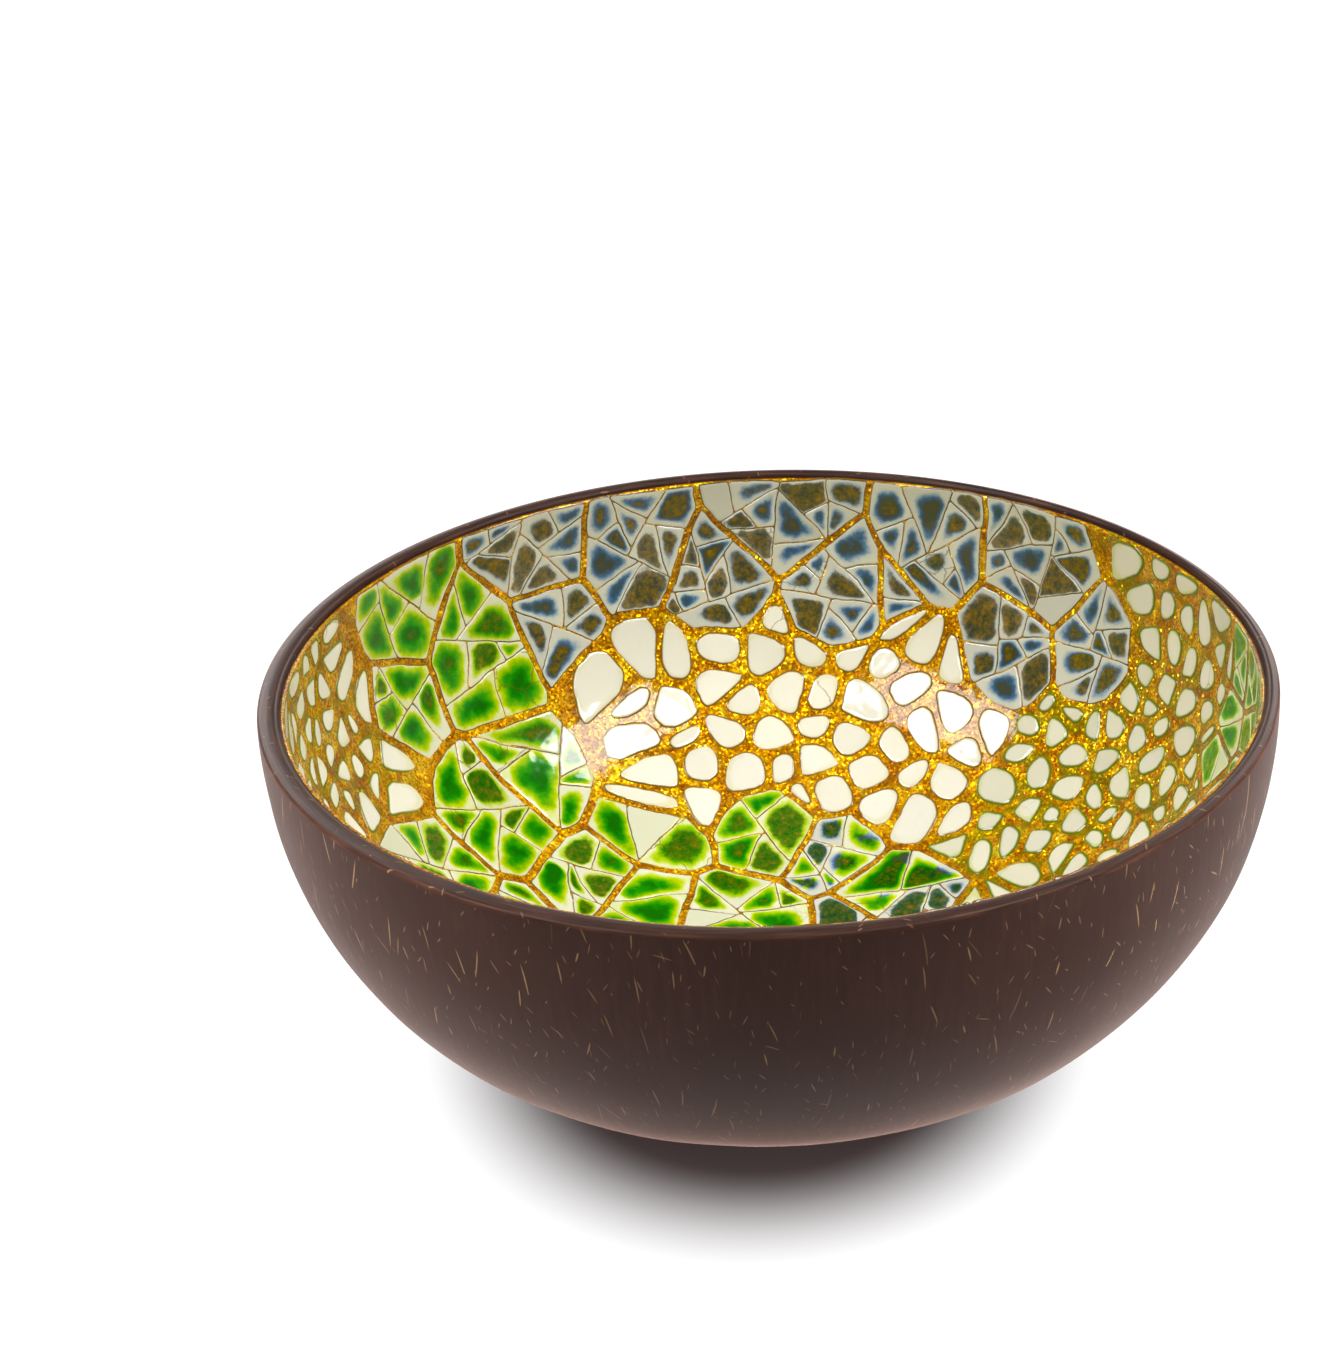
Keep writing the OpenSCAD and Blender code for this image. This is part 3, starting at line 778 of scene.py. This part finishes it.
# Stained eggshell: a creamy border, a lime halo and deep green, some cores scorched
# olive with gold specks, all with the wet gloss of the clear lacquer.
green_shell = eggshell(
    "green_stained_eggshell", GREENS,
    cores=[(0.36, "#146002"), (0.5, "#3d6a04"), (0.6, "#6f6a0c"), (0.72, "#a8861a")],
    core_from=2.5, outline="#64500f", hem=0.12, foot="#9a6408")
for name, node, grow, border in (
        ("green_mosaic_left", "green_chips_left", 0.99, 0.44),
        ("green_mosaic_front_left", "green_chips_front_left", 0.91, 0.75),
        ("green_mosaic_front", "green_chips_front", 0.90, 0.8)):
    lay(name, node, green_shell, "green_eggshell", RINGS, rounds=1, grow=grow,
        flare=0.15 * MM, border=border, halo=0.6, plain=0.05)


# Leaf-green slivers: small pieces of duck eggshell at the right edge, pressed into the
# gold like the rest.

# Eggshell smeared with bright leaf green: pale cream between soft green smears.
leaf_shell = eggshell(
    "leaf_green_eggshell",
    [(0.0, "#e6ebc6"), (0.2, "#dde8a4"), (0.3, "#a9cf3a"), (0.45, "#58ad18"),
     (0.7, "#26880a")],
    cores=[(0.4, "#2b8a0c"), (0.6, "#7da324"), (0.75, "#d6dc90")],
    core_from=2.0, outline="#4b6a14", hem=0.13, foot="#8a6a12")
lay("leaf_green_slivers", "green_leaf_chips_right", leaf_shell, "green_eggshell", RINGS,
    rounds=1, grow=1.0, flare=0.15 * MM, border=0.4, halo=0.5, plain=0.1)


# Blue chips: flat pieces of duck eggshell along the back wall and round the front, in
# large plates that were pressed until they cracked into angular bits.
BLUES = [(0.0, "#d8d7c8"), (0.16, "#cdcfc6"), (0.27, "#b0bbbe"), (0.37, "#8aa0b2"),
         (0.46, "#5e7c9e"), (0.55, "#4a6278"), (0.67, "#424c48"), (0.84, "#4a4a34")]
# Blue-stained eggshell: a bluish white border, a thin blue halo, and slate to olive
# cores with gold specks, where the stain was scorched.
blue_shell = eggshell(
    "blue_stained_eggshell", BLUES,
    cores=[(0.36, "#37423a"), (0.46, "#56522c"), (0.56, "#7c6626"), (0.72, "#a88228")],
    core_from=1.0, outline="#4d4a2a", hem=0.13, foot="#8f5e0c")
for name, node in (("blue_mosaic_back", "blue_chips_back"),
                   ("blue_mosaic_front", "blue_chips_front")):
    lay(name, node, blue_shell, "blue_eggshell", RINGS, rounds=1, grow=1.0,
        flare=0.15 * MM, border=0.62, halo=0.4, plain=0.04)


# Mixed chips: a patch of duck eggshell low at the front, where blue and green pieces
# meet, pressed into the same gold.

# Eggshell with blue and green stains side by side, and cores burnt to orange.
mixed_shell = eggshell(
    "mixed_stained_eggshell", BLUES,
    cores=[(0.34, "#15302a"), (0.5, "#2f5a14"), (0.62, "#6a5a20"), (0.74, "#d08a20")],
    core_from=1.4, outline="#4d4a24", hem=0.13, foot="#9a6210", others=GREENS)
lay("mixed_mosaic_floor", "mixed_chips_floor", mixed_shell, "mixed_eggshell", RINGS,
    rounds=1, grow=1.0, flare=0.15 * MM, border=0.5, halo=0.45, plain=0.03)


# Ivory pebbles: plain duck eggshell in single pieces with their corners worn round, set
# apart in the gold, in the middle of the back wall and at the front.
IVORIES = [(0.0, "#ebe6c6"), (0.2, "#f1ecd6"), (0.3, "#f4f0df"), (0.7, "#f6f2e3")]
IVORY_CORES = [(0.5, "#f2efe4"), (0.7, "#f0e6cc")]
PEBBLE_RINGS = (0.98, 0.945, 0.89, 0.81, 0.66, 0.47, 0.25)
# Plain eggshell: warm ivory, even in colour, and glossy from the clear lacquer.
plain_shell = eggshell("plain_eggshell", IVORIES, cores=IVORY_CORES, core_from=5.0,
                       outline="#86660a", hem=0.20, foot="#a06c0a")
lay("ivory_pebbles_at_back", "ivory_pebbles_back", plain_shell, "ivory_eggshell",
    PEBBLE_RINGS, rounds=6, grow=0.94, flare=0.28 * MM, border=0.3, halo=0.4, plain=0.0)
# Green-edged eggshell: the same ivory, where stain from beside it lines the edges.
edged_shell = eggshell("green_edged_eggshell", IVORIES, cores=IVORY_CORES, core_from=5.0,
                       outline="#708206", hem=0.24, foot="#a06c0a")
lay("ivory_pebbles_at_front", "ivory_pebbles_front", edged_shell, "ivory_eggshell",
    PEBBLE_RINGS, rounds=6, grow=0.94, flare=0.36 * MM, border=0.3, halo=0.4, plain=0.0)


# Small pebbles: bits of the same plain eggshell, worn round and set close in the gold
# over the right side.

# Eggshell washed with thin green lacquer, which gathers as a green rim on each bit.
bead_shell = eggshell(
    "green_rimmed_eggshell",
    [(0.0, "#d6d8a4"), (0.2, "#e0dfc2"), (0.3, "#e6e2cc"), (0.7, "#e8e4d0")],
    cores=[(0.5, "#e8e4d0"), (0.7, "#e4dfc2")],
    core_from=5.0, outline="#6c7d06", hem=0.30, foot="#8a740a")
for name, node in (("small_pebbles_back_right", "ivory_beads_back_right"),
                   ("small_pebbles_front_right", "ivory_beads_front_right")):
    lay(name, node, bead_shell, "ivory_eggshell", PEBBLE_RINGS, rounds=5, grow=0.84,
        flare=0.38 * MM, border=0.3, halo=0.4, plain=0.0)


# Ivory slivers: long narrow pieces of plain eggshell at the left edge, laid upright in
# the gold. They have the finish of the pebbles at the front.
lay("ivory_slivers_at_left", "ivory_slivers_left", edged_shell, "ivory_eggshell",
    PEBBLE_RINGS, rounds=4, grow=0.80, flare=0.34 * MM, border=0.3, halo=0.4, plain=0.0)


# Stage: a sheet of white paper under the bowl. It keeps the bowl's shadow, and the dark
# patch round the foot is also a painted shadow: a glow of its own, shown to the camera and
# in reflections, fades in over an oval round the foot and takes it to the white of the
# room.
# The painted shadow: the middle and stretch of its oval, and where its glow starts and ends
PAINTED_SHADOW_MIDDLE = (-3.7 * MM, 1.2 * MM, 0.0)
PAINTED_SHADOW_STRETCH = (1.3, 1.0, 1.0)
PAINTED_SHADOW_FROM = 37.8 * MM
PAINTED_SHADOW_TO = 66.2 * MM
bm = bmesh.new()
bmesh.ops.create_grid(bm, x_segments=1, y_segments=1, size=3.0)
mesh = bpy.data.meshes.new("table_top")
bm.to_mesh(mesh)
bm.free()
floor = bpy.data.objects.new("table_top", mesh)
bpy.context.scene.collection.objects.link(floor)
# White paper: matt, with no gloss to mirror the bowl, and a painted shadow round the foot.
paper, tree, face = finish_of("white_paper")
place = add(tree, "TexCoord", out="Object")
place = add(tree, "VectorMath", [place, PAINTED_SHADOW_STRETCH], operation="MULTIPLY")
away = add(tree, "VectorMath", [place, PAINTED_SHADOW_MIDDLE], out="Value", operation="DISTANCE")
# Painted shadow: the glow is nil near the foot and full beyond the oval
glow_past_painted_shadow = add(tree, "MapRange", [away, PAINTED_SHADOW_FROM, PAINTED_SHADOW_TO, 0.0, 0.98],
           interpolation_type="SMOOTHSTEP")
seen = add(tree, "LightPath").node.outputs
shown = add(tree, "Math", [seen["Is Camera Ray"], seen["Is Glossy Ray"]],
            operation="MAXIMUM")
shown = add(tree, "Math", [shown, seen["Is Transmission Ray"]], operation="MAXIMUM")
# Painted shadow: to the camera the paper is dark grey, a little warmer near the foot
painted_shadow_colour = add(tree, "Mix", {0: glow_past_painted_shadow, 6: (0.14, 0.10, 0.10, 1), 7: (0.13, 0.13, 0.13, 1)},
             out=2, data_type="RGBA")
# What the paper sends back up to the bowl is a plain warm grey
colour = add(tree, "Mix", {0: shown, 6: linear("#5f5656"), 7: painted_shadow_colour}, out=2,
             data_type="RGBA")
glow_past_painted_shadow = add(tree, "Math", [glow_past_painted_shadow, shown], operation="MULTIPLY")
fill(face, {"Base Color": colour, "Roughness": 0.9, "Specular IOR Level": 0.1,
            "Emission Color": (1, 1, 1, 1), "Emission Strength": glow_past_painted_shadow})
mesh.materials.append(paper)

# The room: its backdrop is white to the camera and in reflections, and its ceiling and
# the camera's side are dark in reflections.
world = bpy.data.worlds.new("white_room")
bpy.context.scene.world = world
world.use_nodes = True
tree = world.node_tree
seen = add(tree, "LightPath").node.outputs
way = add(tree, "TexCoord", out="Generated")
way = add(tree, "SeparateXYZ", [way]).node.outputs
behind = add(tree, "MapRange", [way[1], -0.35, 0.15], interpolation_type="SMOOTHSTEP")
low = add(tree, "MapRange", [way[2], 0.34, 0.16], interpolation_type="SMOOTHSTEP")
backdrop = add(tree, "Math", [behind, low], operation="MULTIPLY")
backdrop = add(tree, "Math", [backdrop, 0.97, -0.29], operation="MULTIPLY_ADD")
mirrored = add(tree, "Math", [seen["Is Glossy Ray"], seen["Is Transmission Ray"]],
               operation="MAXIMUM")
mirrored = add(tree, "Math", [mirrored, backdrop], operation="MULTIPLY")
level = add(tree, "Math", [0.30, mirrored], operation="ADD")
level = add(tree, "Math", [level, seen["Is Camera Ray"]], operation="MAXIMUM")
fill(tree.nodes["Background"], {"Color": (1, 1, 1, 1), "Strength": level})

# The lamps: large softboxes and low cards for light, and smaller ones that show only as
# highlights in the lacquer and on the rim. Degrees, metres and watts.
for name, azimuth, elevation, far, wide, high, power, glossy in (
        ("right_softbox", -20, 40, 1.5, 0.90, 0.80, 11.1, False),
        ("left_softbox", -160, 40, 1.5, 0.90, 0.80, 9.3, False),
        ("top_softbox", 90, 84, 1.5, 0.80, 0.80, 11.1, False),
        ("right_card", -4, 0, 0.35, 0.40, 0.05, 2.7, False),
        ("left_card", -176, 0, 0.35, 0.40, 0.05, 2.6, False),
        ("right_glint", -29, 49, 1.1, 0.66, 0.32, 12.5, True),
        ("left_glint", -148, 45, 1.1, 0.72, 0.34, 13.0, True),
        ("right_rim_glint", 66, 24, 1.1, 0.36, 0.32, 1.8, True),
        ("left_rim_glint", 114, 24, 1.1, 0.36, 0.32, 2.2, True)):
    lamp = bpy.data.lights.new(name, "AREA")
    lamp.shape = "RECTANGLE"
    lamp.size = wide
    lamp.size_y = high
    lamp.energy = power
    stand = bpy.data.objects.new(name, lamp)
    a, e = math.radians(azimuth), math.radians(elevation)
    way = Vector((math.cos(e) * math.cos(a), math.cos(e) * math.sin(a), math.sin(e)))
    stand.location = way * far + Vector((0, 0, 30 * MM))
    stand.rotation_euler = way.to_track_quat("Z", "Y").to_euler()
    stand.visible_camera = False
    stand.visible_glossy = glossy
    stand.visible_diffuse = not glossy
    bpy.context.scene.collection.objects.link(stand)
